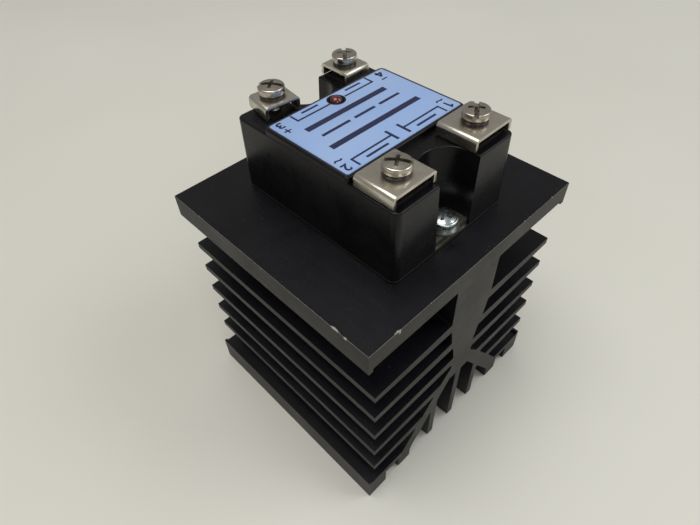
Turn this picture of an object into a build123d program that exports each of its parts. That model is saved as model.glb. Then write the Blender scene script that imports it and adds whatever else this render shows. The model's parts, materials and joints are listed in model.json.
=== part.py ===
"""Solid state relay of the "hockey puck" kind on a finned, extruded aluminium heatsink.

Millimetres.  The origin is on the floor under the middle of the heatsink, +Z is up,
X runs across the extruded profile and Y runs along it.  Terminals 1 and 2 (load)
are at the -Y end, terminals 3 and 4 (control) at the +Y end.
"""
import math
import os

from build123d import *

# ---- heatsink -------------------------------------------------------------------
sink_width = 84.4
sink_length = 80.0
sink_height = 84.0
plate_thick = 6.2
plate_lip_drop = 1.2
plate_lip_width = 1.5
fin_setback = 2.2
fin_count = 5
fin_below_plate = 16.0
fin_tip_thick = 2.3
fin_root_thick = 3.6
gap_round = 1.1
stem_half_top = 9.1
stem_half_second = (8.6, 7.4)
stem_half_third = (6.2, 4.8)
leg_half_start = 5.0
leg_below_fin = 2.7
leg_setback = 16.0
leg_inner_half_start = 4.7
leg_inner_drop = 7.8
leg_inner_setback = 20.6
leg_inner_height = 6.2
foot_height = 9.1
foot_lip_rise = 1.0
foot_lip_width = 1.1
foot_inner_step = 0.6
foot_slot_setback = 14.2
foot_slot_width = 6.3
foot_slot_height = 6.5
foot_inner_lift = 0.4
rib_half_thick = 1.35
side_rib_share = 0.505
rib_bottom_lift = 1.5

# Sizes that follow from the ones above, as depths under the heatsink's top.
fin_tip_half = sink_width / 2 - fin_setback
fin_first = plate_thick + fin_below_plate
foot_top = sink_height - foot_height
fin_pitch = (foot_top - fin_first) / fin_count
leg_start = (leg_half_start, fin_first + 2 * fin_pitch + leg_below_fin)
leg_end = (sink_width / 2 - leg_setback, foot_top)
leg_inner_start = (leg_inner_half_start, leg_start[1] + leg_inner_drop)
leg_inner_end = (sink_width / 2 - leg_inner_setback, sink_height - leg_inner_height)
foot_inner_half = leg_inner_end[0] + foot_inner_step
foot_slot_near = sink_width / 2 - foot_slot_setback
foot_slot_far = foot_slot_near + foot_slot_width
foot_slot_top = sink_height - foot_slot_height
side_rib_centre = foot_inner_half * side_rib_share

# ---- relay body -----------------------------------------------------------------
relay_x = -0.85
relay_y = -0.83
body_width = 45.0
body_length = 59.0
body_corner = 2.2
body_draft = 0.9
ledge_height = 22.8
block_rise = 1.7
ledges_length = 28.1
block_centre_y = 1.65
block_side_step = 0.1
block_corner = 1.4
edge_round = 0.5
wall = 2.0
roof = 2.0
block_wall_x = 2.5
block_wall_y = 1.95
block_roof = 1.9
boss_wall = 2.1

pad_thick = 0.3
pad_margin = 0.6
base_thick = 3.0
base_flange_thick = 0.9
base_flange_margin = 0.15
base_step_x = 1.5
base_step_y = 0.5

notch_half = 7.75
notch_from_end = 3.3
notch_draft = 2.3
notch_wall = 1.6
overcut = 6.0

label_margin_x = 0.9
label_margin_y = 0.35
label_thick = 0.15
label_corner = 1.3

# ---- status lamp ----------------------------------------------------------------
lamp_from_block_end = 3.9
lamp_radius = 1.95
lamp_flange_radius = 2.4
lamp_window_radius = 2.7
lamp_stand = 1.2
lamp_fit = 0.15
lamp_flange_thick = 0.8
lamp_above_board = 2.4
lamp_lead = 0.5
lamp_lead_spread = 1.27

# ---- terminals ------------------------------------------------------------------
load_from_side = 8.2
load_from_end = 8.2
control_from_side = 9.1
control_from_end = 5.1
screw_shift = {1: (0.6, -0.2), 2: (0.3, -0.2), 3: (0.75, 0.25), 4: (0.4, -0.3)}
clamp_shift = {1: (-0.3, -0.1), 2: (-0.3, 0.2), 3: (0.15, -0.45), 4: (0.15, 0.05)}
load_clamp = (14.6, 12.4)
control_clamp = (10.8, 9.0)
clamp_turn = {1: 0.0, 2: 0.0, 3: -8.0, 4: 90.0}
clamp_thick = 1.0
clamp_stand = 3.5
clamp_drop = 3.4
clamp_bend = 1.2
clamp_lift = {1: 0.3, 2: 0.0, 3: 0.6, 4: 0.1}
clamp_hole_fit = 0.08
plate_recess = 0.5
terminal_plate_thick = 1.0
load_plate = (11.6, 10.6)
control_plate = (8.2, 7.8)
thread_radius = 1.95
thread_depth = 0.25
thread_pitch = 0.7
thread_fit = 0.05
screw_length = 12.0
head_overhang = 1.7
head_side = 1.55
head_dome = 0.85
head_edge = 0.25
head_shoulder = (0.5, 0.42)
shoulder_middle = (0.12, 0.27)
dome_share = 0.6
head_gap = 0.05
slot_width = 1.2
slot_depth = 1.2
cross_width = 0.9
cross_length = 4.2
cross_depth = 1.6
cross_taper = 4
slot_turn = {1: -54.0, 2: 34.0, 3: 37.0, 4: -40.0}
spring_overhang = 1.45
spring_hole_fit = 0.15
spring_thick = 0.9
spring_split = 0.5
spring_split_lean = 25.0
insert_wall = 1.15
insert_groove = 0.3
insert_length = 10.3

# ---- mounting screws ------------------------------------------------------------
mount_hole_fit = 0.25
mount_head_overhang = 1.8
mount_flat_overhang = 2.35
mount_flat_thick = 0.8
mount_spring_overhang = 1.65
mount_head_side = 1.3
mount_head_dome = 1.2
mount_screw_length = 12.0
mount_tap_depth = 10.0
mount_cross_turn = 20.0

# ---- electronics ----------------------------------------------------------------
ceramic_side_room = 5.5
ceramic_length = 22.0
ceramic_thick = 0.8
ceramic_from_load = 16.3
die = (8.0, 8.0, 0.5)
die_from_foot = 2.0
die_from_load = 14.3
board_side_room = 4.5
board_end_room = 15.5
board_thick = 1.6
board_y = 2.0
board_above_inserts = 2.0
board_round = 1.5
lead_thick = 0.8
load_tab = (8.0, 9.0)
load_lead_width = 6.0
load_foot_shift = 1.3
load_foot_reach = 6.2
control_tab = (6.4, 5.6)
control_strip_width = 3.0
control_strip_reach = 14.0
screw_tip_fit = 0.45
gate_pin_radius = 0.4
gate_pin_step = 2.5
ceramic_pin_x = 9.5
ceramic_pin_step = 6.5
opto = (6.4, 9.0, 3.4)
opto_spot = (9.0, 4.0)
opto_lift = 0.5
opto_legs = 3
opto_leg_pitch = 2.54
opto_leg_width = 0.6
opto_leg_thick = 0.3
snubber_cap = (11.0, 5.0, 5.8)
snubber_cap_spot = (-9.5, -6.5)
resistor_radius = 1.15
resistor_length = 6.4
resistor_lead = 0.3
resistor_lead_reach = 2.0
resistor_spots = ((-9.0, 2.0), (-9.0, 6.0))
snubber_resistor_spot = (-9.0, 10.5)
snubber_resistor_radius = 1.6

# Sizes and places in the relay that follow from the ones above.
base_top = pad_thick + base_thick
housing_bottom = pad_thick + base_flange_thick
cavity_top = ledge_height - roof
block_height = ledge_height + block_rise
block_length = body_length - ledges_length
pocket_top = block_height - block_roof
block_pocket = (body_width - 2 * block_wall_x, block_length - 2 * block_wall_y)
notch_centre = body_length / 2 - notch_from_end
label_width = body_width - 2 * label_margin_x
label_length = block_length - 2 * label_margin_y
lamp_y = block_centre_y + block_length / 2 - lamp_from_block_end
load_x = body_width / 2 - load_from_side
load_y = load_from_end - body_length / 2
control_x = body_width / 2 - control_from_side
control_y = body_length / 2 - control_from_end
clamp_top = ledge_height + clamp_stand
insert_top = ledge_height - plate_recess
insert_bottom = insert_top - insert_length
insert_radius = thread_radius + insert_wall
boss_radius = insert_radius + boss_wall
head_radius = thread_radius + head_overhang
spring_outer = thread_radius + spring_overhang
spring_inner = thread_radius + spring_hole_fit
mount_hole_radius = thread_radius + mount_hole_fit
mount_head_radius = thread_radius + mount_head_overhang
mount_flat_outer = thread_radius + mount_flat_overhang
mount_spring_outer = thread_radius + mount_spring_overhang
board = (body_width - 2 * board_side_room, body_length - 2 * board_end_room)
board_bottom = insert_bottom + board_above_inserts
board_top = board_bottom + board_thick
lamp_bottom = board_top + lamp_above_board
load_foot_x = load_x - load_foot_shift
die_x = load_foot_x - die_from_foot
die_y = load_y + die_from_load
ceramic_width = body_width - 2 * ceramic_side_room
ceramic_y = load_y + ceramic_from_load
gate_pin_spots = (
    (die_x - gate_pin_step, die_y + gate_pin_step),
    (gate_pin_step - die_x, die_y + gate_pin_step),
)
ceramic_pin_spot = (ceramic_pin_x, ceramic_y + ceramic_pin_step)
screw_tip_hole = thread_radius + screw_tip_fit
terminal_spots = {}
clamp_spots = {}
for number, (spot_x, spot_y) in {
    1: (load_x, load_y),
    2: (-load_x, load_y),
    3: (-control_x, control_y),
    4: (control_x, control_y),
}.items():
    screw_x = spot_x + screw_shift[number][0]
    screw_y = spot_y + screw_shift[number][1]
    terminal_spots[number] = (screw_x, screw_y)
    clamp_x = screw_x + clamp_shift[number][0]
    clamp_y = screw_y + clamp_shift[number][1]
    clamp_spots[number] = (clamp_x, clamp_y)
mount_spots = ((0.0, -notch_centre), (0.0, notch_centre))

os.makedirs("parts", exist_ok=True)


def save(name, part):
    """Label one piece and write it beside the others."""
    part.label = name
    export_step(part, "parts/" + name + ".step")


def level(height):
    """Horizontal plane over the relay's middle, a height above the heatsink's top."""
    return Plane(origin=(relay_x, relay_y, sink_height + height))


def upright(x, y, height):
    """Upright plane through one point of the relay, for profiles that are revolved."""
    spot = (relay_x + x, relay_y + y, sink_height + height)
    return Plane(origin=spot, x_dir=(1, 0, 0), z_dir=(0, -1, 0))


def spin_axis(x, y):
    """Vertical axis through one point of the relay."""
    return Axis((relay_x + x, relay_y + y, 0), (0, 0, 1))


def leg_face(start, end, depth):
    """Distance from the middle of a sloping leg's face at a depth under the top."""
    slope = (end[0] - start[0]) / (end[1] - start[1])
    return start[0] + (depth - start[1]) * slope


def fin_edge(index, side, outer):
    """Depth of a fin's upper (-1) or lower (+1) face, at its tip or at its root."""
    centre = fin_first + index * fin_pitch
    thick = fin_tip_thick if outer else fin_root_thick
    return centre + side * thick / 2


def between_tips(index):
    """Outer corners of the gap between one fin and the next."""
    upper = fin_edge(index, 1, True)
    lower = fin_edge(index + 1, -1, True)
    return [(fin_tip_half, upper), (far, upper), (far, lower), (fin_tip_half, lower)]


# ---- heatsink: one extruded profile, drawn as depths under its top ----------------
far = sink_width
plate_lip_near = sink_width / 2 - plate_lip_width
plate_lip_end = plate_thick + plate_lip_drop
foot_lip_near = sink_width / 2 - foot_lip_width
foot_lip_top = foot_top - foot_lip_rise

# Air gaps between the fins of one side; each list starts at the gap's inner end.
gaps = []
gaps.append([
    (stem_half_top, plate_thick),
    (plate_lip_near, plate_thick),
    (plate_lip_near, plate_lip_end),
    (far, plate_lip_end),
    (far, fin_edge(0, -1, True)),
    (fin_tip_half, fin_edge(0, -1, True)),
    (stem_half_top, fin_edge(0, -1, False)),
])
for index, (upper, lower) in enumerate((stem_half_second, stem_half_third)):
    gaps.append([
        (upper, fin_edge(index, 1, False)),
        *between_tips(index),
        (lower, fin_edge(index + 1, -1, False)),
    ])
fourth_top = fin_edge(2, 1, False)
fourth_bottom = fin_edge(3, -1, False)
gaps.append([
    (leg_start[0], fourth_top),
    *between_tips(2),
    (leg_face(leg_start, leg_end, fourth_bottom), fourth_bottom),
    (leg_start[0], leg_start[1] + gap_round),
])
fifth_top = fin_edge(3, 1, False)
fifth_bottom = fin_edge(4, -1, False)
gaps.append([
    (leg_face(leg_start, leg_end, fifth_top), fifth_top),
    *between_tips(3),
    (leg_face(leg_start, leg_end, fifth_bottom), fifth_bottom),
])
sixth_top = fin_edge(4, 1, False)
gaps.append([
    (leg_face(leg_start, leg_end, sixth_top), sixth_top),
    (fin_tip_half, fin_edge(4, 1, True)),
    (far, fin_edge(4, 1, True)),
    (far, foot_lip_top),
    (foot_lip_near, foot_lip_top),
    (foot_lip_near, foot_top),
    (leg_end[0], foot_top),
])

# Spaces under the legs: beside the middle rib, beside the side rib, and the foot slot.
rib_side_near = side_rib_centre - rib_half_thick
rib_side_far = side_rib_centre + rib_half_thick
below = sink_height + overcut
leg_inner_depth = leg_inner_start[1]
inner_slope = (leg_inner_end[1] - leg_inner_start[1]) / (leg_inner_end[0] - leg_inner_start[0])
near_depth = leg_inner_depth + (rib_side_near - leg_inner_start[0]) * inner_slope
far_depth = leg_inner_depth + (rib_side_far - leg_inner_start[0]) * inner_slope
gaps.append([
    (rib_half_thick, leg_inner_depth),
    leg_inner_start,
    (rib_side_near, near_depth),
    (rib_side_near, below),
    (rib_half_thick, below),
])
gaps.append([
    (rib_side_far, far_depth),
    leg_inner_end,
    (foot_inner_half, leg_inner_end[1] + gap_round),
    (foot_inner_half, below),
    (rib_side_far, below),
])
gaps.append([
    (foot_slot_near, foot_slot_top),
    (foot_slot_far, foot_slot_top),
    (foot_slot_far, below),
    (foot_slot_near, below),
])

gap_faces = []
for points in gaps:
    with BuildSketch(Plane.XZ) as gap_face:
        Polygon(*[(x, sink_height - depth) for x, depth in points], align=None)
        inner_points = gap_face.vertices().filter_by_position(
            Axis.X, 0, foot_inner_half + gap_round)
        if len(inner_points) > 0:
            fillet(inner_points.filter_by_position(Axis.Z, 0, sink_height), gap_round / 2)
    gap_faces.append(gap_face.sketch)

with BuildPart() as heatsink:
    with BuildSketch(Plane.XZ):
        with Locations((0, sink_height / 2)):
            Rectangle(sink_width, sink_height)
        for face in gap_faces:
            add(face, mode=Mode.SUBTRACT)
            add(mirror(face, about=Plane.YZ), mode=Mode.SUBTRACT)
        tip_span = foot_lip_top - plate_lip_end
        tip_middle = sink_height - (foot_lip_top + plate_lip_end) / 2
        tip_waste = sink_width / 2 - fin_tip_half
        for side in (-1, 1):
            with Locations((side * (fin_tip_half + tip_waste / 2), tip_middle)):
                Rectangle(tip_waste, tip_span, mode=Mode.SUBTRACT)
        with Locations((0, 0)):
            Rectangle(2 * foot_inner_half, 2 * rib_bottom_lift, mode=Mode.SUBTRACT)
            Rectangle(2 * foot_slot_near, 2 * foot_inner_lift, mode=Mode.SUBTRACT)
    extrude(amount=sink_length / 2, both=True)
    with BuildSketch(level(0)):
        with Locations(*mount_spots):
            Circle(thread_radius + thread_fit)
    extrude(amount=-mount_tap_depth, mode=Mode.SUBTRACT)
save("heatsink", heatsink.part)

# ---- thermal pad and base plate ---------------------------------------------------
with BuildPart() as thermal_pad:
    with BuildSketch(level(0)):
        RectangleRounded(body_width - 2 * pad_margin, body_length - 2 * pad_margin, body_corner)
        with Locations(*mount_spots):
            Circle(mount_hole_radius, mode=Mode.SUBTRACT)
    extrude(amount=pad_thick)
save("thermal_pad", thermal_pad.part)

with BuildPart() as base_plate:
    with BuildSketch(level(pad_thick)):
        RectangleRounded(
            body_width - 2 * base_flange_margin,
            body_length - 2 * base_flange_margin,
            body_corner)
    extrude(amount=base_flange_thick)
    with BuildSketch(level(housing_bottom)):
        RectangleRounded(
            body_width - 2 * base_step_x,
            body_length - 2 * base_step_y,
            body_corner - base_step_y)
    extrude(amount=base_top - housing_bottom)
    with BuildSketch(level(base_top)):
        with Locations(*mount_spots):
            Circle(mount_hole_radius)
    extrude(amount=-base_thick, mode=Mode.SUBTRACT)
save("base_plate", base_plate.part)

# ---- housing ----------------------------------------------------------------------
with BuildPart() as housing:
    with BuildSketch(level(housing_bottom)):
        RectangleRounded(body_width, body_length, body_corner)
    extrude(amount=ledge_height - housing_bottom, taper=body_draft)
    ledge_shrink = (ledge_height - housing_bottom) * math.tan(math.radians(body_draft))
    with BuildSketch(level(ledge_height)):
        with Locations((0, block_centre_y)):
            RectangleRounded(
                body_width - 2 * ledge_shrink - 2 * block_side_step,
                block_length,
                block_corner)
    extrude(amount=block_height - ledge_height, taper=body_draft)
    fillet(housing.faces().sort_by(Axis.Z)[-1].edges(), edge_round)
    with BuildSketch(level(ledge_height)):
        for side in (-1, 1):
            with Locations((0, side * notch_centre)):
                Circle(notch_half)
            with Locations((0, side * (notch_centre + overcut))):
                Rectangle(2 * notch_half, 2 * overcut)
    extrude(amount=housing_bottom - ledge_height, taper=notch_draft, mode=Mode.SUBTRACT)
    ledge_z = sink_height + ledge_height
    ledge_faces = housing.faces().filter_by(Axis.Z).filter_by_position(
        Axis.Z, ledge_z - edge_round / 2, ledge_z + edge_round / 2)
    ledge_rim = ledge_faces.edges().filter_by_position(
        Axis.Z, ledge_z - edge_round / 2, ledge_z + edge_round / 2)
    block_reach = block_length / 2 + edge_round
    front_rim = ledge_rim.filter_by(
        lambda edge: abs(edge.center().Y - relay_y - block_centre_y) > block_reach)
    fillet(front_rim, edge_round)
    # Room for the stepped base plate, then the hollow in two storeys around the bosses.
    with BuildSketch(level(housing_bottom)):
        RectangleRounded(
            body_width - 2 * base_step_x,
            body_length - 2 * base_step_y,
            body_corner - base_step_y)
    extrude(amount=base_top - housing_bottom, mode=Mode.SUBTRACT)
    for floor_height, ceiling, with_bosses in (
            (base_top, insert_bottom, False),
            (insert_bottom, cavity_top, True)):
        with BuildSketch(level(floor_height)):
            Rectangle(body_width - 2 * wall, body_length - 2 * wall)
            for side in (-1, 1):
                with Locations((0, side * notch_centre)):
                    Circle(notch_half + notch_wall, mode=Mode.SUBTRACT)
                with Locations((0, side * (notch_centre + overcut))):
                    Rectangle(2 * (notch_half + notch_wall), 2 * overcut, mode=Mode.SUBTRACT)
            if with_bosses:
                with Locations(*terminal_spots.values()):
                    Circle(boss_radius, mode=Mode.SUBTRACT)
        extrude(amount=ceiling - floor_height, mode=Mode.SUBTRACT)
    with BuildSketch(level(cavity_top)):
        with Locations((0, block_centre_y)):
            Rectangle(*block_pocket)
    extrude(amount=pocket_top - cavity_top, mode=Mode.SUBTRACT)
    # Lamp hole, terminal plate seats and insert holes.
    with BuildSketch(level(block_height)):
        with Locations((0, lamp_y)):
            Circle(lamp_radius + lamp_fit)
    extrude(amount=pocket_top - block_height, mode=Mode.SUBTRACT)
    with BuildSketch(level(ledge_height)):
        for number, spot in terminal_spots.items():
            size = load_plate if number < 3 else control_plate
            with Locations(spot):
                Rectangle(*size)
    extrude(amount=-plate_recess, mode=Mode.SUBTRACT)
    with BuildSketch(level(insert_top)):
        with Locations(*terminal_spots.values()):
            Circle(insert_radius)
    extrude(amount=insert_bottom - insert_top, mode=Mode.SUBTRACT)
save("housing", housing.part)

# ---- label and status lamp --------------------------------------------------------
with BuildPart() as label:
    with BuildSketch(level(block_height)):
        with Locations((0, block_centre_y)):
            RectangleRounded(label_width, label_length, label_corner)
        with Locations((0, lamp_y)):
            Circle(lamp_window_radius, mode=Mode.SUBTRACT)
    extrude(amount=label_thick)
save("label", label.part)

lamp_top = block_height + lamp_stand
with BuildPart() as status_lamp:
    with BuildSketch(upright(0, lamp_y, 0)):
        with BuildLine():
            Polyline(
                (0, lamp_top - lamp_radius),
                (0, lamp_bottom),
                (lamp_flange_radius, lamp_bottom),
                (lamp_flange_radius, lamp_bottom + lamp_flange_thick),
                (lamp_radius, lamp_bottom + lamp_flange_thick),
                (lamp_radius, lamp_top - lamp_radius))
            Line((0, lamp_top), (0, lamp_top - lamp_radius))
            RadiusArc((0, lamp_top), (lamp_radius, lamp_top - lamp_radius), lamp_radius)
        make_face()
    revolve(axis=spin_axis(0, lamp_y))
    with BuildSketch(level(lamp_bottom)):
        for side in (-1, 1):
            with Locations((side * lamp_lead_spread, lamp_y)):
                Rectangle(lamp_lead, lamp_lead)
    extrude(amount=board_top - lamp_bottom)
save("status_lamp", status_lamp.part)


# ---- terminals ----------------------------------------------------------------------
def threaded_profile(length, head_rim, head_base, side):
    """Half profile of a pan headed screw whose head sits on head_base, up to its dome."""
    turns = int(length / thread_pitch)
    points = [(0, head_base - length), (thread_radius - thread_depth, head_base - length)]
    for turn in range(turns):
        start = head_base - length + turn * thread_pitch
        points.append((thread_radius, start + thread_pitch / 2))
        points.append((thread_radius - thread_depth, start + thread_pitch))
    points.append((thread_radius - thread_depth, head_base))
    points.append((head_rim - head_edge, head_base))
    points.append((head_rim, head_base + head_edge))
    points.append((head_rim, head_base + side))
    return points


def make_screw(spots, length, head_rim, head_base, side, dome, turn, with_slot):
    """Pan headed screws with a cross recess and, for the terminals, a slot as well."""
    shoulder_x = head_rim - head_shoulder[0]
    shoulder_z = head_base + side + head_shoulder[1]
    dome_rise = (dome - head_shoulder[1]) * (1 - dome_share ** 2)
    with BuildPart() as screw:
        for x, y in spots:
            with BuildSketch(upright(x, y, 0)):
                with BuildLine():
                    points = threaded_profile(length, head_rim, head_base, side)
                    Polyline(*points)
                    Line((0, head_base - length), (0, head_base + side + dome))
                    ThreePointArc(
                        (0, head_base + side + dome),
                        (shoulder_x * dome_share, shoulder_z + dome_rise),
                        (shoulder_x, shoulder_z))
                    ThreePointArc(
                        (shoulder_x, shoulder_z),
                        (head_rim - shoulder_middle[0], head_base + side + shoulder_middle[1]),
                        (head_rim, head_base + side))
                make_face()
            revolve(axis=spin_axis(x, y))
        if with_slot:
            with BuildSketch(level(head_base + side + dome)):
                with Locations(*spots):
                    Rectangle(slot_width, 3 * head_rim, rotation=turn)
            extrude(amount=-slot_depth, mode=Mode.SUBTRACT)
        with BuildSketch(level(head_base + side + dome)):
            with Locations(*spots):
                Rectangle(cross_width, cross_length, rotation=turn)
                Rectangle(cross_length, cross_width, rotation=turn)
        extrude(amount=-cross_depth, taper=cross_taper, mode=Mode.SUBTRACT)
    return screw.part


def make_clamp(spot, hole, size, turn, lift):
    """Saddle clamp: a plate bent down along two opposite sides, with a screw hole."""
    width, length = size
    top = clamp_top + lift
    along = Vector(1, 0, 0).rotate(Axis.Z, turn)
    across = Vector(0, 1, 0).rotate(Axis.Z, turn)
    spot_x = relay_x + spot[0]
    spot_y = relay_y + spot[1]
    upper = Plane(origin=(spot_x, spot_y, sink_height + top), x_dir=along)
    lower = Plane(origin=(spot_x, spot_y, sink_height + top - clamp_thick), x_dir=along)
    with BuildPart() as clamp:
        with BuildSketch(upper):
            Rectangle(width, length)
        extrude(amount=-clamp_drop)
        top_face = clamp.faces().sort_by(Axis.Z)[-1]
        fillet(top_face.edges().filter_by(Axis((0, 0, 0), across)), clamp_bend)
        with BuildSketch(lower):
            Rectangle(width - 2 * clamp_thick, length + clamp_thick)
        extrude(amount=-clamp_drop, mode=Mode.SUBTRACT)
        with BuildSketch(level(top)):
            with Locations(hole):
                Circle(thread_radius + clamp_hole_fit)
        extrude(amount=-clamp_thick, mode=Mode.SUBTRACT)
    return clamp.part


for number, (x, y) in terminal_spots.items():
    lift = clamp_lift[number]
    is_load = number < 3
    clamp_size = load_clamp if is_load else control_clamp
    tag = "_" + str(number)
    clamp_part = make_clamp(
        clamp_spots[number], (x, y), clamp_size, clamp_turn[number], lift)
    save("terminal_clamp" + tag, clamp_part)

    washer_base = clamp_top + lift
    with BuildPart() as spring_washer:
        with BuildSketch(level(washer_base)):
            with Locations((x, y)):
                Circle(spring_outer)
                Circle(spring_inner, mode=Mode.SUBTRACT)
        extrude(amount=spring_thick)
        with BuildSketch(upright(x, y, washer_base)):
            with Locations(((spring_outer + spring_inner) / 2, spring_thick / 2)):
                Rectangle(spring_split, 4 * spring_thick, rotation=spring_split_lean)
        extrude(amount=spring_outer, mode=Mode.SUBTRACT)
    save("terminal_spring_washer" + tag, spring_washer.part)

    head_base = washer_base + spring_thick + head_gap
    screw_part = make_screw(
        [(x, y)], screw_length, head_radius, head_base, head_side, head_dome,
        slot_turn[number], True)
    save("terminal_screw" + tag, screw_part)

    with BuildPart() as terminal_plate:
        with BuildSketch(level(insert_top)):
            with Locations((x, y)):
                Rectangle(*(load_plate if is_load else control_plate))
                Circle(thread_radius + clamp_hole_fit, mode=Mode.SUBTRACT)
        extrude(amount=terminal_plate_thick)
    save("terminal_plate" + tag, terminal_plate.part)

with BuildPart() as terminal_inserts:
    for x, y in terminal_spots.values():
        with BuildSketch(upright(x, y, 0)):
            with BuildLine():
                bore = thread_radius + thread_fit
                middle = (insert_top + insert_bottom) / 2
                Polyline(
                    (bore, insert_bottom),
                    (insert_radius, insert_bottom),
                    (insert_radius, middle - 2 * insert_groove),
                    (insert_radius - insert_groove, middle - insert_groove),
                    (insert_radius - insert_groove, middle + insert_groove),
                    (insert_radius, middle + 2 * insert_groove),
                    (insert_radius, insert_top),
                    (bore, insert_top),
                    close=True)
            make_face()
        revolve(axis=spin_axis(x, y))
save("terminal_inserts", terminal_inserts.part)

# ---- mounting screws with their washers -----------------------------------------------
with BuildPart() as mounting_washers:
    with BuildSketch(level(base_top)):
        with Locations(*mount_spots):
            Circle(mount_flat_outer)
            Circle(spring_inner, mode=Mode.SUBTRACT)
    extrude(amount=mount_flat_thick)
save("mounting_washers", mounting_washers.part)

mount_spring_base = base_top + mount_flat_thick
with BuildPart() as mounting_spring_washers:
    with BuildSketch(level(mount_spring_base)):
        with Locations(*mount_spots):
            Circle(mount_spring_outer)
            Circle(spring_inner, mode=Mode.SUBTRACT)
    extrude(amount=spring_thick)
    for x, y in mount_spots:
        with BuildSketch(upright(x, y, mount_spring_base)):
            with Locations(((mount_spring_outer + spring_inner) / 2, spring_thick / 2)):
                Rectangle(spring_split, 4 * spring_thick, rotation=spring_split_lean)
        extrude(amount=mount_spring_outer, mode=Mode.SUBTRACT)
save("mounting_spring_washers", mounting_spring_washers.part)

mounting_screw_part = make_screw(
    mount_spots, mount_screw_length, mount_head_radius, mount_spring_base + spring_thick,
    mount_head_side, mount_head_dome, mount_cross_turn, False)
save("mounting_screws", mounting_screw_part)

# ---- electronics inside the housing ----------------------------------------------------
with BuildPart() as ceramic_substrate:
    with BuildSketch(level(base_top)):
        with Locations((0, ceramic_y)):
            Rectangle(ceramic_width, ceramic_length)
    extrude(amount=ceramic_thick)
save("ceramic_substrate", ceramic_substrate.part)

die_bottom = base_top + ceramic_thick
die_top = die_bottom + die[2]
for number, side in ((1, 1), (2, -1)):
    with BuildPart() as thyristor:
        with BuildSketch(level(die_bottom)):
            with Locations((side * die_x, die_y)):
                Rectangle(die[0], die[1])
        extrude(amount=die[2])
    save("thyristor_" + str(number), thyristor.part)

    tab_bottom = insert_bottom - lead_thick
    tab_spot = terminal_spots[number]
    tab_inner_y = tab_spot[1] + load_tab[1] / 2
    with BuildPart() as load_lead:
        with BuildSketch(level(tab_bottom)):
            with Locations(tab_spot):
                Rectangle(load_tab[0], load_tab[1])
                Circle(screw_tip_hole, mode=Mode.SUBTRACT)
        extrude(amount=lead_thick)
        with BuildSketch(level(die_top)):
            with Locations((side * load_foot_x, tab_inner_y - lead_thick / 2)):
                Rectangle(load_lead_width, lead_thick)
        extrude(amount=insert_bottom - die_top)
        with BuildSketch(level(die_top)):
            with Locations((side * load_foot_x, tab_inner_y + load_foot_reach / 2)):
                Rectangle(load_lead_width, load_foot_reach)
        extrude(amount=lead_thick)
    save("load_lead_" + str(number), load_lead.part)

for number in (3, 4):
    tab_spot = terminal_spots[number]
    strip_end = tab_spot[1] - control_strip_reach
    with BuildPart() as control_lead:
        with BuildSketch(level(insert_bottom - lead_thick)):
            with Locations(tab_spot):
                Rectangle(control_tab[0], control_tab[1])
            with Locations((tab_spot[0], tab_spot[1] - control_strip_reach / 2)):
                Rectangle(control_strip_width, control_strip_reach)
            with Locations(tab_spot):
                Circle(screw_tip_hole, mode=Mode.SUBTRACT)
        extrude(amount=lead_thick)
        with BuildSketch(level(insert_bottom - lead_thick)):
            with Locations((tab_spot[0], strip_end + lead_thick / 2)):
                Rectangle(control_strip_width, lead_thick)
        extrude(amount=board_bottom - insert_bottom + lead_thick)
    save("control_lead_" + str(number), control_lead.part)

with BuildPart() as gate_pins:
    with BuildSketch(level(die_bottom)):
        with Locations(ceramic_pin_spot):
            Circle(gate_pin_radius)
    extrude(amount=board_bottom - die_bottom)
    with BuildSketch(level(die_top)):
        with Locations(*gate_pin_spots):
            Circle(gate_pin_radius)
    extrude(amount=board_bottom - die_top)
save("gate_pins", gate_pins.part)

with BuildPart() as circuit_board:
    with BuildSketch(level(board_bottom)):
        with Locations((0, board_y)):
            RectangleRounded(board[0], board[1], board_round)
    extrude(amount=board_thick)
save("circuit_board", circuit_board.part)

with BuildPart() as optocoupler:
    with BuildSketch(level(board_top + opto_lift)):
        with Locations(opto_spot):
            Rectangle(opto[0], opto[1])
    extrude(amount=opto[2])
    leg_top = board_top + opto_lift + opto[2] / 2
    with BuildSketch(level(board_top)):
        for side in (-1, 1):
            leg_x = opto_spot[0] + side * (opto[0] + opto_leg_thick) / 2
            with Locations((leg_x, opto_spot[1])):
                with GridLocations(0, opto_leg_pitch, 1, opto_legs):
                    Rectangle(opto_leg_thick, opto_leg_width)
    extrude(amount=leg_top - board_top)
save("optocoupler", optocoupler.part)

with BuildPart() as snubber_capacitor:
    with BuildSketch(level(board_top)):
        with Locations(snubber_cap_spot):
            RectangleRounded(snubber_cap[0], snubber_cap[1], snubber_cap[1] / 4)
    extrude(amount=snubber_cap[2])
save("snubber_capacitor", snubber_capacitor.part)


def make_resistor(spots, radius):
    """Axial resistors lying along X, each with two bent legs down to the board."""
    centre = board_top + radius
    reach = resistor_length / 2 + resistor_lead_reach
    with BuildPart() as resistor:
        for x, y in spots:
            yz = Plane(origin=(relay_x + x, relay_y + y, sink_height + centre),
                       x_dir=(0, 1, 0), z_dir=(1, 0, 0))
            with BuildSketch(yz):
                Circle(radius)
            extrude(amount=resistor_length / 2, both=True)
            with BuildSketch(yz):
                Circle(resistor_lead)
            extrude(amount=reach, both=True)
            with BuildSketch(level(board_top)):
                for side in (-1, 1):
                    with Locations((x + side * (reach - resistor_lead), y)):
                        Circle(resistor_lead)
            extrude(amount=radius)
    return resistor.part


save("resistors", make_resistor(resistor_spots, resistor_radius))
save("snubber_resistor", make_resistor([snubber_resistor_spot], snubber_resistor_radius))
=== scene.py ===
# %% [markdown]
# A solid state relay on a finned aluminium heatsink.  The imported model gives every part
# its true shape and place, in metres.  This lesson adds what an eye looks for: finishes
# made from shader nodes, edges that catch the light, and the printing on the label.

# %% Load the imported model
import json
import math

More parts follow.
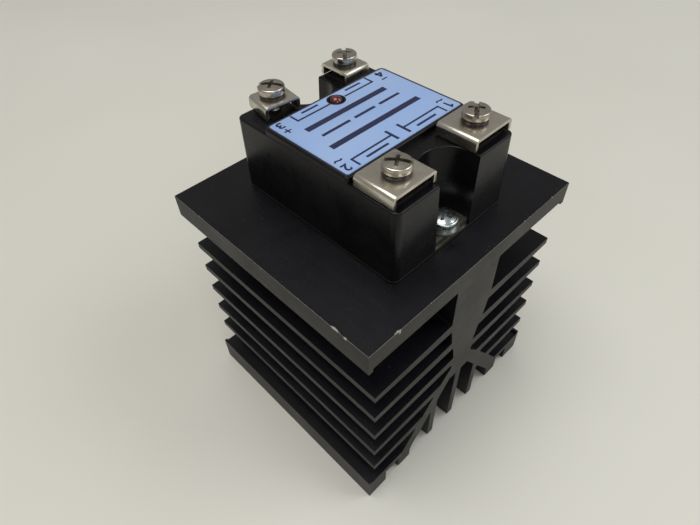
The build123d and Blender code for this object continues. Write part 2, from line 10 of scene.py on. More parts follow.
import bpy
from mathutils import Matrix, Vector

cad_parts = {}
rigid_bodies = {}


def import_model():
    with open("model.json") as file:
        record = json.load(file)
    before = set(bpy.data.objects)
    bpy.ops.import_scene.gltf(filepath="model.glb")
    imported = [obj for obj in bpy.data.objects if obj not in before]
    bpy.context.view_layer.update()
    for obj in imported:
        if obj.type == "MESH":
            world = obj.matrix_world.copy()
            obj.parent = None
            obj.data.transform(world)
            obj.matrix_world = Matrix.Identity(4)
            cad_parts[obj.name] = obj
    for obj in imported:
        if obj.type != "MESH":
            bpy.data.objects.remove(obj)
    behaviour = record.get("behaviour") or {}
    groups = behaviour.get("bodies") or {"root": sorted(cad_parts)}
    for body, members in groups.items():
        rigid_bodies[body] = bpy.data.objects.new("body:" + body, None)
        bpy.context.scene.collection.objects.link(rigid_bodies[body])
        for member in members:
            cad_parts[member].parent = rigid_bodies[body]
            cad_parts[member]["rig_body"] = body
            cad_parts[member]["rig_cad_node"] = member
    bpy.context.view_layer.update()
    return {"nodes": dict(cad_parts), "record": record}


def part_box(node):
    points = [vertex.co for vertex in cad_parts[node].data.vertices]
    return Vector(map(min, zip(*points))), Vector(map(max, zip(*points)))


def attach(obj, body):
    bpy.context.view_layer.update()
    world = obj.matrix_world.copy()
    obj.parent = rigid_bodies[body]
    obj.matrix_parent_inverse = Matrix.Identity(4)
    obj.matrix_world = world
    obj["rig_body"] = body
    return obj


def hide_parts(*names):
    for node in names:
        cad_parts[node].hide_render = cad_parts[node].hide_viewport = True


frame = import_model()
bodies = frame["record"]["behaviour"]["bodies"]
body_of = {name: body for body, names in bodies.items() for name in names}
print("parts loaded:", len(frame["nodes"]), "bodies:", len(bodies))

# %% [markdown]
# Sizes are read from the parts, never typed twice.  The heatsink's box gives its plate's
# edges, and the case's box gives the middle of the relay.

# %% Measure the parts that other pieces are placed from
sink_low, sink_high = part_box("heatsink")
case_low, case_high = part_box("housing")
label_low, label_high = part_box("label")
lamp_low, lamp_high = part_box("status_lamp")
label_middle = (label_low + label_high) / 2
lamp_middle = (lamp_low + lamp_high) / 2
print("heatsink", sink_high - sink_low, "case", case_high - case_low)

# %% [markdown]
# The camera stands in front of the left corner and looks down at the relay.  Its lens is
# slightly wide, so the heatsink narrows towards its feet.

# %% Place the camera
camera_spot = (-0.08786, -0.08486, 0.18318)
camera_turn = [math.radians(angle) for angle in (43.077, 1.670, -44.427)]
bpy.ops.object.camera_add(location=camera_spot, rotation=camera_turn)
camera = bpy.context.object
camera.name = "camera"
camera.data.lens = 27.21
camera.data.clip_start = 0.005
camera.data.dof.use_dof = False
bpy.context.scene.camera = camera
print("camera at", tuple(camera.location))

# %% [markdown]
# Shader maths is easier to read as a formula than as a web of nodes.  A Wire is one
# output of a node, and the usual signs between wires add the Math nodes.  A Finish is a
# material with one method, node, that adds any node with its settings and its inputs.

# %% Helpers that turn formulas into shader nodes
class Wire:
    """One output of a shader node, which can be used in ordinary arithmetic."""

    def __init__(self, finish, made, output):
        self.finish = finish
        self.made = made
        self.socket = made.outputs[output]

    def out(self, output):
        return Wire(self.finish, self.made, output)

    def maths(self, operation, *values):
        inputs = dict(enumerate(values))
        return self.finish.node("ShaderNodeMath", {"operation": operation}, inputs)

    def __add__(self, other):
        return self.maths("ADD", self, other)

    def __sub__(self, other):
        return self.maths("SUBTRACT", self, other)

    def __mul__(self, other):
        return self.maths("MULTIPLY", self, other)

    def __truediv__(self, other):
        return self.maths("DIVIDE", self, other)

    def __rsub__(self, other):
        return self.maths("SUBTRACT", other, self)

    def __abs__(self):
        return self.maths("ABSOLUTE", self)

    __radd__ = __add__
    __rmul__ = __mul__

    def smallest(self, other):
        return self.maths("MINIMUM", self, other)

    def largest(self, other):
        return self.maths("MAXIMUM", self, other)

    def root(self):
        return self.maths("SQRT", self)

    def sine(self):
        return self.maths("SINE", self)

    def step(self, start, end, low=0.0, high=1.0):
        """A soft step: low up to start, high from end on."""
        return self.finish.node(
            "ShaderNodeMapRange", {"interpolation_type": "SMOOTHSTEP"},
            {"Value": self, "From Min": start, "From Max": end,
             "To Min": low, "To Max": high})


class Finish:
    """A material that is being wired up, with its Principled shader."""

    def __init__(self, name, **sockets):
        self.material = bpy.data.materials.new(name)
        self.material.use_nodes = True
        self.tree = self.material.node_tree
        self.shader = self.tree.nodes["Principled BSDF"]
        self.place = self.node("ShaderNodeTexCoord", output="Object")
        self.set(**sockets)

    def node(self, kind, settings=None, inputs=None, output=0):
        made = self.tree.nodes.new(kind)
        for name, value in (settings or {}).items():
            setattr(made, name, value)
        for name, value in (inputs or {}).items():
            self.feed(made.inputs[name], value)
        return Wire(self, made, output)

    def feed(self, socket, value):
        if isinstance(value, Wire):
            self.tree.links.new(value.socket, socket)
        elif isinstance(value, tuple) and len(value) == 3 and socket.type == "RGBA":
            socket.default_value = (*value, 1.0)
        else:
            socket.default_value = value

    def set(self, **sockets):
        """Feeds the shader: base_color=..., roughness=..., and so on."""
        for name, value in sockets.items():
            socket = "IOR" if name == "ior" else name.replace("_", " ").title()
            self.feed(self.shader.inputs[socket], value)

    def axes(self):
        """The three coordinates of the shaded point, in metres."""
        split = self.node("ShaderNodeSeparateXYZ", inputs={0: self.place})
        return split, split.out(1), split.out(2)

    def facing(self):
        """The three parts of the surface's own normal."""
        normal = self.node("ShaderNodeTexCoord", output="Normal")
        split = self.node("ShaderNodeSeparateXYZ", inputs={0: normal})
        return split, split.out(1), split.out(2)

    def stretch(self, x, y, z):
        """Object coordinates in millimetres, stretched along the three axes."""
        scale = tuple(1000.0 * value for value in (x, y, z))
        return self.node("ShaderNodeMapping", inputs={"Vector": self.place, "Scale": scale})

    def noise(self, where, scale, detail=3.0, rough=0.5, warp=0.0):
        return self.node(
            "ShaderNodeTexNoise", inputs={
                "Vector": where, "Scale": scale, "Detail": detail,
                "Roughness": rough, "Distortion": warp})

    def mix(self, share, first, second):
        """Blends two colours."""
        return self.node(
            "ShaderNodeMix", {"data_type": "RGBA"}, {0: share, 6: first, 7: second}, 2)

    def bump(self, height, distance, strength=1.0, under=None):
        """A relief whose height of 1 stands the given distance proud, in metres."""
        inputs = {"Height": height, "Distance": distance, "Strength": strength}
        if under is not None:
            inputs["Normal"] = under
        return self.node("ShaderNodeBump", inputs=inputs)


finishes = {}
print("helpers ready")

# %% [markdown]
# The heatsink is extruded, sawn to length and anodised black.  Extrusion leaves fine
# lines along its length, the saw leaves greyer, coarser ends, and handling has chipped
# the coating on the rim of the top plate, where bare aluminium shows as bright flecks:
# noise scatters small ones, and each entry of knocks is one larger one and its reach.
# All of that depends on where a point is and which way it faces, so the finish reads
# Object coordinates and the surface's normal.

# %% Finish: black anodised aluminium
knocks = [
    (Vector((-0.0325, sink_low.y, sink_high.z)), Vector((0.0013, 0.0007, 0.0006))),
    (Vector((-0.0318, sink_low.y, sink_high.z - 0.0004)), Vector((0.0005, 0.0005, 0.0014))),
    (Vector((sink_low.x, -0.0290, sink_high.z)), Vector((0.0005, 0.0020, 0.0005))),
    (Vector((sink_low.x, -0.0325, sink_high.z - 0.0003)), Vector((0.0004, 0.0009, 0.0006))),
]


def black_anodised():
    finish = Finish("black_anodised", ior=1.33)
    x, y, z = finish.axes()
    facing_y, facing_z = finish.facing()[1:]
    sawn = abs(facing_y).step(0.6, 0.9)
    level = facing_z.step(0.6, 0.9)
    along = finish.noise(finish.stretch(1.0, 0.012, 1.0), 2.6, 4.0, 0.65)
    cloud = finish.noise(finish.stretch(1.0, 1.0, 1.0), 0.045, 4.0, 0.6)
    dust = finish.noise(finish.stretch(1.0, 1.0, 1.0), 1.7, 2.0, 0.6).step(0.66, 0.78)
    saw = finish.noise(finish.stretch(0.06, 1.0, 2.4), 1.1, 4.0, 0.6)
    patch = finish.noise(finish.stretch(1.0, 1.0, 1.0), 0.11, 3.0, 0.55)

    rim_x = sink_high.x - abs(x)
    rim_y = sink_high.y - abs(y)
    rim_z = sink_high.z - z
    from_rim = rim_x.smallest(rim_y).largest(rim_z)
    ragged = finish.noise(finish.stretch(1.0, 1.0, 1.0), 0.9, 4.0, 0.7)
    chips = (from_rim - ragged.step(0.60, 0.74, 0.0, 0.00045)).step(0.0, 0.00006, 1.0, 0.0)
    for knock, reach in knocks:
        away_x = (x - knock.x) / reach.x
        away_y = (y - knock.y) / reach.y
        away_z = (z - knock.z) / reach.z
        away = (away_x * away_x + away_y * away_y + away_z * away_z).root()
        chips = chips.largest((away + ragged * 1.6).step(1.35, 1.5, 1.0, 0.0))

    satin = finish.mix(
        cloud.step(0.3, 0.7), (0.0022, 0.0022, 0.0042), (0.0040, 0.0040, 0.0064))
    end = finish.mix(
        (saw * 0.6 + patch * 0.4).step(0.38, 0.62),
        (0.014, 0.014, 0.013), (0.034, 0.033, 0.029))
    coat = finish.mix(sawn, satin, end)
    dusty = finish.mix(dust * level * 0.35, coat, (0.11, 0.11, 0.10))
    worn = finish.mix(chips, dusty, (0.46, 0.455, 0.44))
    gloss = along.step(0.3, 0.7, 0.36, 0.46) + cloud.step(0.3, 0.7, -0.03, 0.05)
    finish.set(
        base_color=worn,
        roughness=gloss + sawn * 0.10 + dust * 0.15,
        metallic=chips * 0.9)
    lines = finish.bump(along, 0.00002, 0.5)
    cuts = finish.bump(saw * sawn, 0.00006, 0.6, lines)
    finish.set(normal=cuts)
    return finish


finishes["heatsink"] = black_anodised()
print("made", finishes["heatsink"].material.name)

# %% [markdown]
# The case is moulded from black thermoset.  It is glossier than the heatsink, with very
# fine waves from the mould, a little dust on what faces up, and marks from fingers that
# only change how sharply it mirrors the room.

# %% Finish: moulded black plastic
def moulded_plastic():
    finish = Finish("moulded_plastic", ior=1.30)
    facing_z = finish.facing()[2]
    everywhere = finish.stretch(1.0, 1.0, 1.0)
    waves = finish.noise(everywhere, 0.16, 2.0, 0.5)
    grain = finish.noise(everywhere, 3.2, 3.0, 0.6)
    smear = finish.noise(everywhere, 0.11, 5.0, 0.62, 0.6)
    dust = finish.noise(everywhere, 2.3, 2.0, 0.55).step(0.67, 0.76)
    level = facing_z.step(0.5, 0.9)
    tint = finish.mix(
        smear.step(0.35, 0.68), (0.0030, 0.0029, 0.0040), (0.0058, 0.0056, 0.0066))
    dusty = finish.mix(dust * level * 0.4, tint, (0.10, 0.10, 0.095))
    finish.set(
        base_color=dusty,
        roughness=smear.step(0.3, 0.72, 0.24, 0.33) + dust * level * 0.2)
    mould = finish.bump(waves, 0.0001, 0.35)
    finish.set(normal=finish.bump(grain, 0.000012, 0.5, mould))
    return finish


finishes["housing"] = moulded_plastic()
print("made", finishes["housing"].material.name)

# %% [markdown]
# The saddle clamps are strip steel, rolled, bent and nickel plated.  Nickel is a warm
# grey metal, rolling leaves faint parallel lines, and old plate has dull blotches.

# %% Finish: nickel plated strip
def nickel_strip(name, lines_along_x):
    finish = Finish(name, metallic=1.0)
    everywhere = finish.stretch(1.0, 1.0, 1.0)
    if lines_along_x:
        rolled = finish.stretch(0.05, 1.6, 1.6)
    else:
        rolled = finish.stretch(1.6, 0.05, 1.6)
    lines = finish.noise(rolled, 3.0, 4.0, 0.65)
    blotch = finish.noise(everywhere, 0.22, 5.0, 0.6, 0.4)
    specks = finish.noise(everywhere, 2.6, 2.0, 0.6).step(0.68, 0.76)
    plate = finish.mix(blotch.step(0.3, 0.7), (0.66, 0.625, 0.545), (0.50, 0.465, 0.39))
    lined = finish.mix(lines.step(0.35, 0.7) * 0.3, plate, (0.68, 0.65, 0.60))
    spotted = finish.mix(specks * 0.6, lined, (0.16, 0.13, 0.10))
    finish.set(
        base_color=spotted,
        roughness=blotch.step(0.3, 0.7, 0.24, 0.36) + specks * 0.2)
    finish.set(normal=finish.bump(lines, 0.000012, 0.6))
    return finish


for number in (1, 2, 3, 4):
    clamp = f"terminal_clamp_{number}"
    finishes[clamp] = nickel_strip("nickel_strip_" + str(number), number == 4)
print("made four strip finishes")

# %% [markdown]
# A screw's head is turned on a lathe, so it has rings round its own middle, and dirt
# settles in the slot and the cross, where no cloth reaches.  Each screw gets its own copy
# of the finish, because its rings and its dirt are measured from its own middle and top.

# %% Finish: turned and plated screw heads
ring_pitch = 14000.0
mount_head_radius = 0.00375


def turned_head(name, middles, top, bright, dull, dirt):
    finish = Finish(name, metallic=1.0)
    x, y, z = finish.axes()
    everywhere = finish.stretch(1.0, 1.0, 1.0)
    facing_z = finish.facing()[2]
    radius = None
    for middle in middles:
        away_x = x - middle.x
        away_y = y - middle.y
        here = (away_x * away_x + away_y * away_y).root()
        radius = here if radius is None else radius.smallest(here)
    rings = (radius * ring_pitch).sine()
    blotch = finish.noise(everywhere, 0.5, 4.0, 0.6, 0.3)
    depth = top - z
    inside = depth.step(0.0009, 0.0016) * facing_z.step(0.3, 0.8) * radius.step(
        0.0031, 0.0034, 1.0, 0.0)
    wall = abs(facing_z).step(0.15, 0.35, 1.0, 0.0) * radius.step(0.0028, 0.0031, 1.0, 0.0)
    grime = (inside + wall).smallest(1.0) * blotch.step(0.2, 0.6, 0.55, 0.95)
    plate = finish.mix(blotch.step(0.3, 0.7), bright, dull)
    finish.set(
        base_color=finish.mix(grime, plate, dirt),
        roughness=blotch.step(0.3, 0.7, 0.20, 0.33) + grime * 0.35,
        normal=finish.bump(rings, 0.0000025, 0.2))
    return finish


def head_facts(name):
    low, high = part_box(name)
    return (low + high) / 2, high.z


for number in (1, 2, 3, 4):
    screw = f"terminal_screw_{number}"
    middle, top = head_facts(screw)
    finishes[screw] = turned_head(
        f"nickel_head_{number}", [middle], top,
        (0.56, 0.525, 0.46), (0.40, 0.37, 0.315), (0.06, 0.045, 0.03))
middle, top = head_facts("mounting_screws")
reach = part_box("mounting_screws")[1].y - middle.y - mount_head_radius
ends = [middle + Vector((0, side * reach, 0)) for side in (-1, 1)]
finishes["mounting_screws"] = turned_head(
    "zinc_head", ends, top, (0.60, 0.66, 0.67), (0.44, 0.49, 0.50), (0.07, 0.08, 0.075))
print("made five head finishes")

# %% [markdown]
# Many small parts need a plain metal or a plain moulded body.  One function makes both:
# two tones that a cloud of noise mixes, a roughness that follows the same cloud, and a
# fine relief.  The parts inside the case get it too, for whoever lifts the case off.
# The terminal plates are made near black as painted shade for the gap under the clamps,
# and the spring washers' near black is partly painted shade under the screw heads.

# %% Finish: a family of plain metals and mouldings
def plain(name, light, dark, metal, gloss, scale=0.6, relief=0.00002):
    finish = Finish(name, metallic=metal)
    everywhere = finish.stretch(1.0, 1.0, 1.0)
    cloud = finish.noise(everywhere, scale, 5.0, 0.6, 0.3)
    grain = finish.noise(everywhere, 5.0, 3.0, 0.6)
    finish.set(
        base_color=finish.mix(cloud.step(0.3, 0.7), light, dark),
        roughness=cloud.step(0.3, 0.7, gloss - 0.05, gloss + 0.07),
        normal=finish.bump(grain, relief, 0.4))
    return finish


plain_looks = {
    # The spring washers are dark spring steel, and their near-black tone is also painted shade
    # for the gap under each screw head.
    "spring_steel_and_painted_shade": ((0.10, 0.095, 0.09), (0.045, 0.04, 0.04), 0.9, 0.33),
    "bright_washer": ((0.42, 0.45, 0.44), (0.28, 0.30, 0.29), 1.0, 0.36),
    "base_metal": ((0.22, 0.215, 0.17), (0.13, 0.127, 0.10), 1.0, 0.42),
    "heat_paste": ((0.66, 0.66, 0.63), (0.50, 0.50, 0.48), 0.0, 0.6),
    "turned_brass": ((0.80, 0.60, 0.28), (0.62, 0.44, 0.18), 1.0, 0.28),
    # The terminal plates are painted near black: painted shade for the dark gap under each
    # clamp, where the plates sit.
    "plate_painted_shade": ((0.055, 0.052, 0.047), (0.025, 0.024, 0.022), 0.8, 0.45),
    "tinned_copper": ((0.70, 0.68, 0.64), (0.55, 0.53, 0.49), 1.0, 0.34),
    "white_ceramic": ((0.80, 0.80, 0.77), (0.70, 0.70, 0.66), 0.0, 0.45),
    "silicon": ((0.10, 0.10, 0.13), (0.05, 0.05, 0.07), 0.4, 0.2),
    "green_board": ((0.015, 0.14, 0.05), (0.01, 0.09, 0.035), 0.0, 0.35),
    "black_component": ((0.03, 0.03, 0.03), (0.02, 0.02, 0.02), 0.0, 0.5),
    "yellow_component": ((0.62, 0.40, 0.05), (0.50, 0.31, 0.04), 0.0, 0.3),
    "beige_component": ((0.52, 0.42, 0.27), (0.42, 0.33, 0.20), 0.0, 0.4),
}
plain_finishes = {name: plain(name, *look) for name, look in plain_looks.items()}
plain_users = {
    # The spring washers take a colour that is partly painted shade under the screw heads.
    "spring_steel_and_painted_shade": [f"terminal_spring_washer_{n}" for n in (1, 2, 3, 4)],
    "bright_washer": ["mounting_washers", "mounting_spring_washers"],
    "base_metal": ["base_plate"],
    "heat_paste": ["thermal_pad"],
    "turned_brass": ["terminal_inserts"],
    # The terminal plates take painted shade in place of a metal colour.
    "plate_painted_shade": [f"terminal_plate_{n}" for n in (1, 2, 3, 4)],
    "tinned_copper": [
        "load_lead_1", "load_lead_2", "control_lead_3", "control_lead_4", "gate_pins"],
    "white_ceramic": ["ceramic_substrate"],
    "silicon": ["thyristor_1", "thyristor_2"],
    "green_board": ["circuit_board"],
    "black_component": ["optocoupler"],
    "yellow_component": ["snubber_capacitor"],
    "beige_component": ["resistors", "snubber_resistor"],
}
for name, users in plain_users.items():
    for user in users:
        finishes[user] = plain_finishes[name]
print("made", len(plain_finishes), "plain finishes")

# %% [markdown]
# The label is a printed film.  Its blue is even, with a thin dark border that follows the
# rounded corners.  The film has a slight orange-peel waviness, it has faded in soft
# patches, and dirt gathers along its cut edge.

# %% Finish: blue label film
label_corner = 0.0013


def label_film():
    finish = Finish("label_film", ior=1.46)
    x, y = finish.axes()[:2]
    everywhere = finish.stretch(1.0, 1.0, 1.0)
    fade = finish.noise(everywhere, 0.07, 3.0, 0.5)
    grain = finish.noise(everywhere, 1.9, 4.0, 0.7)
    half = (label_high - label_low) / 2
    past_x = (abs(x - label_middle.x) - (half.x - label_corner)).largest(0.0)
    past_y = (abs(y - label_middle.y) - (half.y - label_corner)).largest(0.0)
    outside = (past_x * past_x + past_y * past_y).root()
    border = outside.step(label_corner - 0.00062, label_corner - 0.00050)
    edge = outside.step(label_corner - 0.0012, label_corner - 0.0005)
    blue = finish.mix(fade.step(0.3, 0.7), (0.262, 0.392, 0.680), (0.292, 0.410, 0.660))
    flecked = finish.mix(grain.step(0.62, 0.75) * 0.25, blue, (0.20, 0.29, 0.50))
    dirty = finish.mix(edge * grain.step(0.3, 0.7) * 0.5, flecked, (0.10, 0.12, 0.17))
    bordered = finish.mix(border, dirty, (0.006, 0.008, 0.020))
    finish.set(
        base_color=bordered,
        roughness=grain.step(0.3, 0.7, 0.34, 0.44),
        normal=finish.bump(finish.noise(everywhere, 0.9, 2.0, 0.5), 0.00001, 0.5))
    return finish


finishes["label"] = label_film()
print("made", finishes["label"].material.name)

# %% [markdown]
# The lamp is a red epoxy lens.  It is off, so its colour comes from the daylight that it
# lets through: brighter in the middle of the dome, nearly black round its foot.

# %% Finish: red lamp lens
def red_lens():
    finish = Finish("red_lens", ior=1.55, coat_weight=0.2, coat_roughness=0.08)
    x, y = finish.axes()[:2]
    away_x = x - lamp_middle.x
    away_y = y - lamp_middle.y
    radius = (away_x * away_x + away_y * away_y).root()
    swirl = finish.noise(finish.stretch(1.0, 1.0, 1.0), 1.3, 3.0, 0.5)
    core = radius.step(0.0004, 0.0019, 1.0, 0.0) * swirl.step(0.2, 0.7, 0.7, 1.0)
    finish.set(
        base_color=finish.mix(core, (0.045, 0.003, 0.005), (0.14, 0.008, 0.010)),
        roughness=swirl.step(0.3, 0.7, 0.10, 0.18),
        normal=finish.bump(swirl, 0.00002, 0.3))
    return finish


finishes["status_lamp"] = red_lens()
print("made", finishes["status_lamp"].material.name)

# %% [markdown]
# Real edges are never quite sharp, and the thin bright line along an edge is what tells
# an eye that a thing is metal.  The parts that show get a copy whose edges are eased: its
# loose triangles are merged, flat faces are joined again, and a Bevel modifier rounds
# what is sharp.  The copy stands for the part, and rides on the same body.

# %% Ease the edges of the parts that show
merge_reach = 0.000002
flat_angle = math.radians(0.5)
smooth_angle = math.radians(32.0)
sliver = 0.0000001


def eased(node, width, segments=2, angle=35.0):
    """A copy of a part with its sharp edges rounded by width, in metres."""
    source = frame["nodes"][node]
    copy = source.copy()
    copy.data = source.data.copy()
    copy.name = node + "_eased"
    copy.parent = None
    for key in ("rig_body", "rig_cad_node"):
        if key in copy:
            del copy[key]
    bpy.context.scene.collection.objects.link(copy)
    bpy.ops.object.select_all(action="DESELECT")
    copy.select_set(True)
    bpy.context.view_layer.objects.active = copy
    bpy.ops.object.mode_set(mode="EDIT")
    bpy.ops.mesh.select_all(action="SELECT")
    bpy.ops.mesh.remove_doubles(threshold=merge_reach)
    bpy.ops.mesh.customdata_custom_splitnormals_clear()
    bpy.ops.mesh.dissolve_limited(angle_limit=flat_angle)
    bpy.ops.object.mode_set(mode="OBJECT")
    bevel = copy.modifiers.new("edges", "BEVEL")
    bevel.width = width
    bevel.segments = segments
    bevel.limit_method = "ANGLE"
    bevel.angle_limit = math.radians(angle)
    bevel.use_clamp_overlap = True
    bpy.ops.object.modifier_apply(modifier=bevel.name)
    bpy.ops.object.mode_set(mode="EDIT")
    bpy.ops.mesh.select_all(action="SELECT")
    bpy.ops.mesh.dissolve_degenerate(threshold=sliver)
    bpy.ops.object.mode_set(mode="OBJECT")
    bpy.ops.object.shade_smooth_by_angle(angle=smooth_angle)
    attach(copy, body_of[node])
    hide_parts(node)
    slot = next(
        part["material_slot"] for part in frame["record"]["subparts"] if part["node"] == node)
    return copy


ease_widths = {"mounting_screws": 0.00010, "label": 0.00004}
for number in (1, 2, 3, 4):
    ease_widths[f"terminal_clamp_{number}"] = 0.00014
    ease_widths[f"terminal_screw_{number}"] = 0.00010
    ease_widths[f"terminal_spring_washer_{number}"] = 0.00012
shown = dict(frame["nodes"])
for node, width in ease_widths.items():
    shown[node] = eased(node, width)
    print("eased", node, len(shown[node].data.polygons), "faces")

# %% [markdown]
# Every part now takes its finish.  The part's own slots are emptied first, so that the
# colour it was packed with is gone.

# %% Paint the parts
def paint(piece, finish):
    piece.data.materials.clear()
    piece.data.materials.append(finish.material)


for node, piece in shown.items():
    paint(piece, finishes[node])
print("painted", len(shown), "parts")

# %% [markdown]
# The label's printing is a thin layer of dark blue ink.  The terminal numbers, the
# polarity marks and the rules that bracket each pair of terminals are modelled as ink
# that stands a few hundredths of a millimetre proud, so it stays sharp from near.  Text
# is made a mesh before it is placed.

# %% Finish: printing ink
def ink():
    finish = Finish("label_ink", ior=1.48)
    everywhere = finish.stretch(1.0, 1.0, 1.0)
    worn = finish.noise(everywhere, 2.4, 4.0, 0.7)
    finish.set(
        base_color=finish.mix(
            worn.step(0.55, 0.8), (0.010, 0.014, 0.055), (0.045, 0.065, 0.15)),
        roughness=worn.step(0.3, 0.7, 0.38, 0.52),
        normal=finish.bump(worn, 0.000006, 0.4))
    return finish


ink_finish = ink()
ink_height = 0.00002
print("made", ink_finish.material.name)

# %% Helpers that print a numeral and a rule on the label
cap_share = 0.7


def clear_selection():
    bpy.ops.object.select_all(action="DESELECT")


def settle(piece, name, turn=0.0, spot=(0, 0, 0), stretch=(1, 1, 1)):
    """Makes text or a curve a mesh, then puts its place into the mesh."""
    clear_selection()
    piece.select_set(True)
    bpy.context.view_layer.objects.active = piece
    bpy.ops.object.convert(target="MESH")
    piece.name = name
    piece.scale = stretch
    piece.rotation_euler.z = math.radians(turn)
    piece.location = spot
    bpy.ops.object.transform_apply(location=True, rotation=True, scale=True)
    bpy.ops.object.mode_set(mode="EDIT")
    bpy.ops.mesh.select_all(action="SELECT")
    bpy.ops.mesh.remove_doubles(threshold=merge_reach)
    bpy.ops.mesh.dissolve_degenerate(threshold=merge_reach)
    bpy.ops.mesh.normals_make_consistent(inside=False)
    bpy.ops.object.mode_set(mode="OBJECT")
    return piece


def print_numeral(numeral, x, y, width, height, fat):
    """A numeral, centred x and y mm from the case's middle, read from the control end."""
    clear_selection()
    bpy.ops.object.text_add(location=(0, 0, 0))
    piece = bpy.context.object
    piece.data.body = numeral
    piece.data.size = height / 1000 / cap_share
    piece.data.align_x = "CENTER"
    piece.data.align_y = "CENTER"
    piece.data.offset = fat / 1000
    piece.data.extrude = ink_height / 2
    piece.data.resolution_u = 3
    bpy.context.view_layer.update()
    spread = piece.dimensions
    fit = (width / 1000 / spread.x, height / 1000 / spread.y, 1.0)
    spot = (case_middle.x + x / 1000, case_middle.y + y / 1000, ink_level)
    return settle(piece, "ink_" + numeral, 180.0, spot, fit)


def print_rule(points, width):
    """A ruled line of even width through points, in mm from the case's middle."""
    path = [Vector(point) / 1000 for point in points]
    half = width / 2000
    left, right = [], []
    for index, here in enumerate(path):
        into = (here - path[max(index - 1, 0)]).normalized()
        onward = (path[min(index + 1, len(path) - 1)] - here).normalized()
        into, onward = (into or onward), (onward or into)
        across = Vector((-into.y - onward.y, into.x + onward.x))
        across *= half / (1 + into.dot(onward))
        left.append(here + across)
        right.append(here - across)
    curve = bpy.data.curves.new("rule", "CURVE")
    curve.dimensions = "2D"
    curve.fill_mode = "BOTH"
    curve.extrude = ink_height / 2
    outline = curve.splines.new("POLY")
    outline.points.add(2 * len(path) - 1)
    for spot, corner in zip(outline.points, left + right[::-1]):
        spot.co = (corner.x, corner.y, 0.0, 1.0)
    outline.use_cyclic_u = True
    piece = bpy.data.objects.new("rule", curve)
    bpy.context.scene.collection.objects.link(piece)
    return settle(piece, "ink_rule", 0.0, (case_middle.x, case_middle.y, ink_level))


case_middle = (case_low + case_high) / 2
ink_level = label_high.z + ink_height / 2
print("case middle", case_middle)

# %% [markdown]
# The rules come first: one bracket joins the two control terminals and passes the lamp,
# and one hook reaches from the middle to each load terminal.  Each terminal has its
# number and its sign.  Plain bars stand where a maker would print a title, so no words
# are needed.  Everything is then joined into one piece of ink.

# %% Print the label
rule_width = 0.62
tick_width = 0.85
sign_width = 0.5
numeral_width = 0.65
bold_bar = 1.9
light_bar = 0.95
small_bar = 0.75


def print_bars(spans, y, width):
    """A row of plain bars, each from one x to another, in mm from the case's middle."""
    return [print_rule([(start, y), (end, y)], width) for start, end in spans]


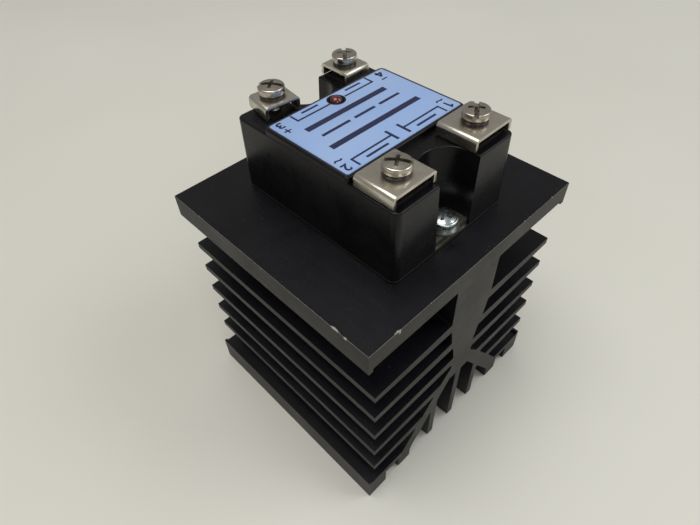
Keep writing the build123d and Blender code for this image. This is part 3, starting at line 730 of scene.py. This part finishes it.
printed = [
    print_rule([(-14.0, 16.0), (-14.0, 12.75), (-2.75, 12.75)], rule_width),
    print_rule([(2.75, 12.75), (13.6, 12.75), (13.6, 16.0)], rule_width),
    print_rule([(-2.2, -6.9), (-2.2, -11.6)], tick_width),
    print_rule([(-2.58, -9.2), (-16.2, -9.2), (-16.2, -12.2)], rule_width),
    print_rule([(2.1, -6.9), (2.1, -11.7)], tick_width),
    print_rule([(2.48, -9.1), (15.8, -9.1), (15.8, -12.3)], rule_width),
    print_rule([(16.3, 11.5), (18.4, 11.5)], sign_width),
    print_rule([(-19.9, 11.1), (-17.7, 11.1)], sign_width),
    print_rule([(-18.8, 12.2), (-18.8, 11.33)], sign_width),
    print_rule([(-18.8, 10.87), (-18.8, 10.0)], sign_width),
    print_rule([(17.0, -7.75), (17.7, -7.4), (18.9, -7.75), (19.6, -7.45)], sign_width),
    print_rule([(-20.1, -7.45), (-19.4, -7.1), (-18.2, -7.5), (-17.5, -7.2)], sign_width),
    print_numeral("3", -18.75, 14.4, 1.9, 2.9, 0.12),
    print_rule([(17.6, 15.6), (17.6, 12.8)], numeral_width),
    print_rule([(17.7, 12.95), (19.0, 14.7)], numeral_width),
    print_rule([(19.2, 14.7), (16.95, 14.7)], numeral_width),
    print_rule([(19.35, -11.15), (18.45, -11.75), (18.25, -9.05)], numeral_width),
    print_numeral("2", -19.2, -10.45, 2.0, 2.9, 0.12),
    *print_bars([(-15.5, 13.5)], 7.75, bold_bar),
    *print_bars([(-14.3, -4.6), (-2.9, 4.6), (6.3, 14.1)], 3.1, light_bar),
    *print_bars([(-16.3, 15.9)], -2.3, bold_bar),
    *print_bars([(-11.0, -5.2), (5.0, 10.8)], 14.9, small_bar),
    *print_bars([(-13.0, -5.4), (5.2, 12.6)], -11.1, small_bar),
]
clear_selection()
for piece in printed:
    piece.select_set(True)
bpy.context.view_layer.objects.active = printed[0]
bpy.ops.object.join()
label_print = bpy.context.object
label_print.name = "label_print"
paint(label_print, ink_finish)
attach(label_print, body_of["label"])
print("printed", len(label_print.data.polygons), "faces of ink")

# %% [markdown]
# The object stands on a plain pale floor.  The main light is wide, soft and to the right,
# where flat tops do not mirror it towards the camera, so black parts stay black.  Two
# weaker ones fill the shadows and give rounded metal a highlight.

# %% Floor, room and lights
def pale_floor():
    finish = Finish("pale_floor")
    cloud = finish.noise(finish.stretch(1.0, 1.0, 1.0), 0.004, 4.0, 0.5)
    finish.set(
        base_color=finish.mix(cloud.step(0.3, 0.7), (0.63, 0.625, 0.568), (0.66, 0.655, 0.602)),
        roughness=cloud.step(0.3, 0.7, 0.45, 0.55))
    return finish


bpy.ops.object.select_all(action="DESELECT")
bpy.ops.mesh.primitive_plane_add(size=6.0, location=(0, 0, 0))
floor = bpy.context.object
floor.name = "floor"
paint(floor, pale_floor())

world = bpy.data.worlds.new("room")
bpy.context.scene.world = world
world.use_nodes = True
room = world.node_tree.nodes["Background"]
room.inputs["Color"].default_value = (1.0, 0.98, 0.93, 1.0)
room.inputs["Strength"].default_value = 0.30


def soft_light(name, spot, size, power, colour):
    """A square soft light that faces the relay."""
    aim = (Vector((0, 0, 0.06)) - Vector(spot)).to_track_quat("-Z", "Y").to_euler()
    bpy.ops.object.light_add(type="AREA", location=spot, rotation=aim)
    lamp = bpy.context.object
    lamp.name = name
    lamp.data.size = size
    lamp.data.energy = power
    lamp.data.color = colour
    return lamp


soft_light("window_light", (1.05, -1.0, 1.35), 1.1, 11.6, (0.97, 0.99, 1.0))
soft_light("ceiling_light", (-0.25, 0.15, 1.3), 0.9, 9.6, (1.0, 0.98, 0.94))
soft_light("front_light", (-0.3, -0.8, 0.7), 0.35, 1.4, (1.0, 0.99, 0.97))
bpy.context.scene.view_settings.view_transform = "Standard"
print("stage set")
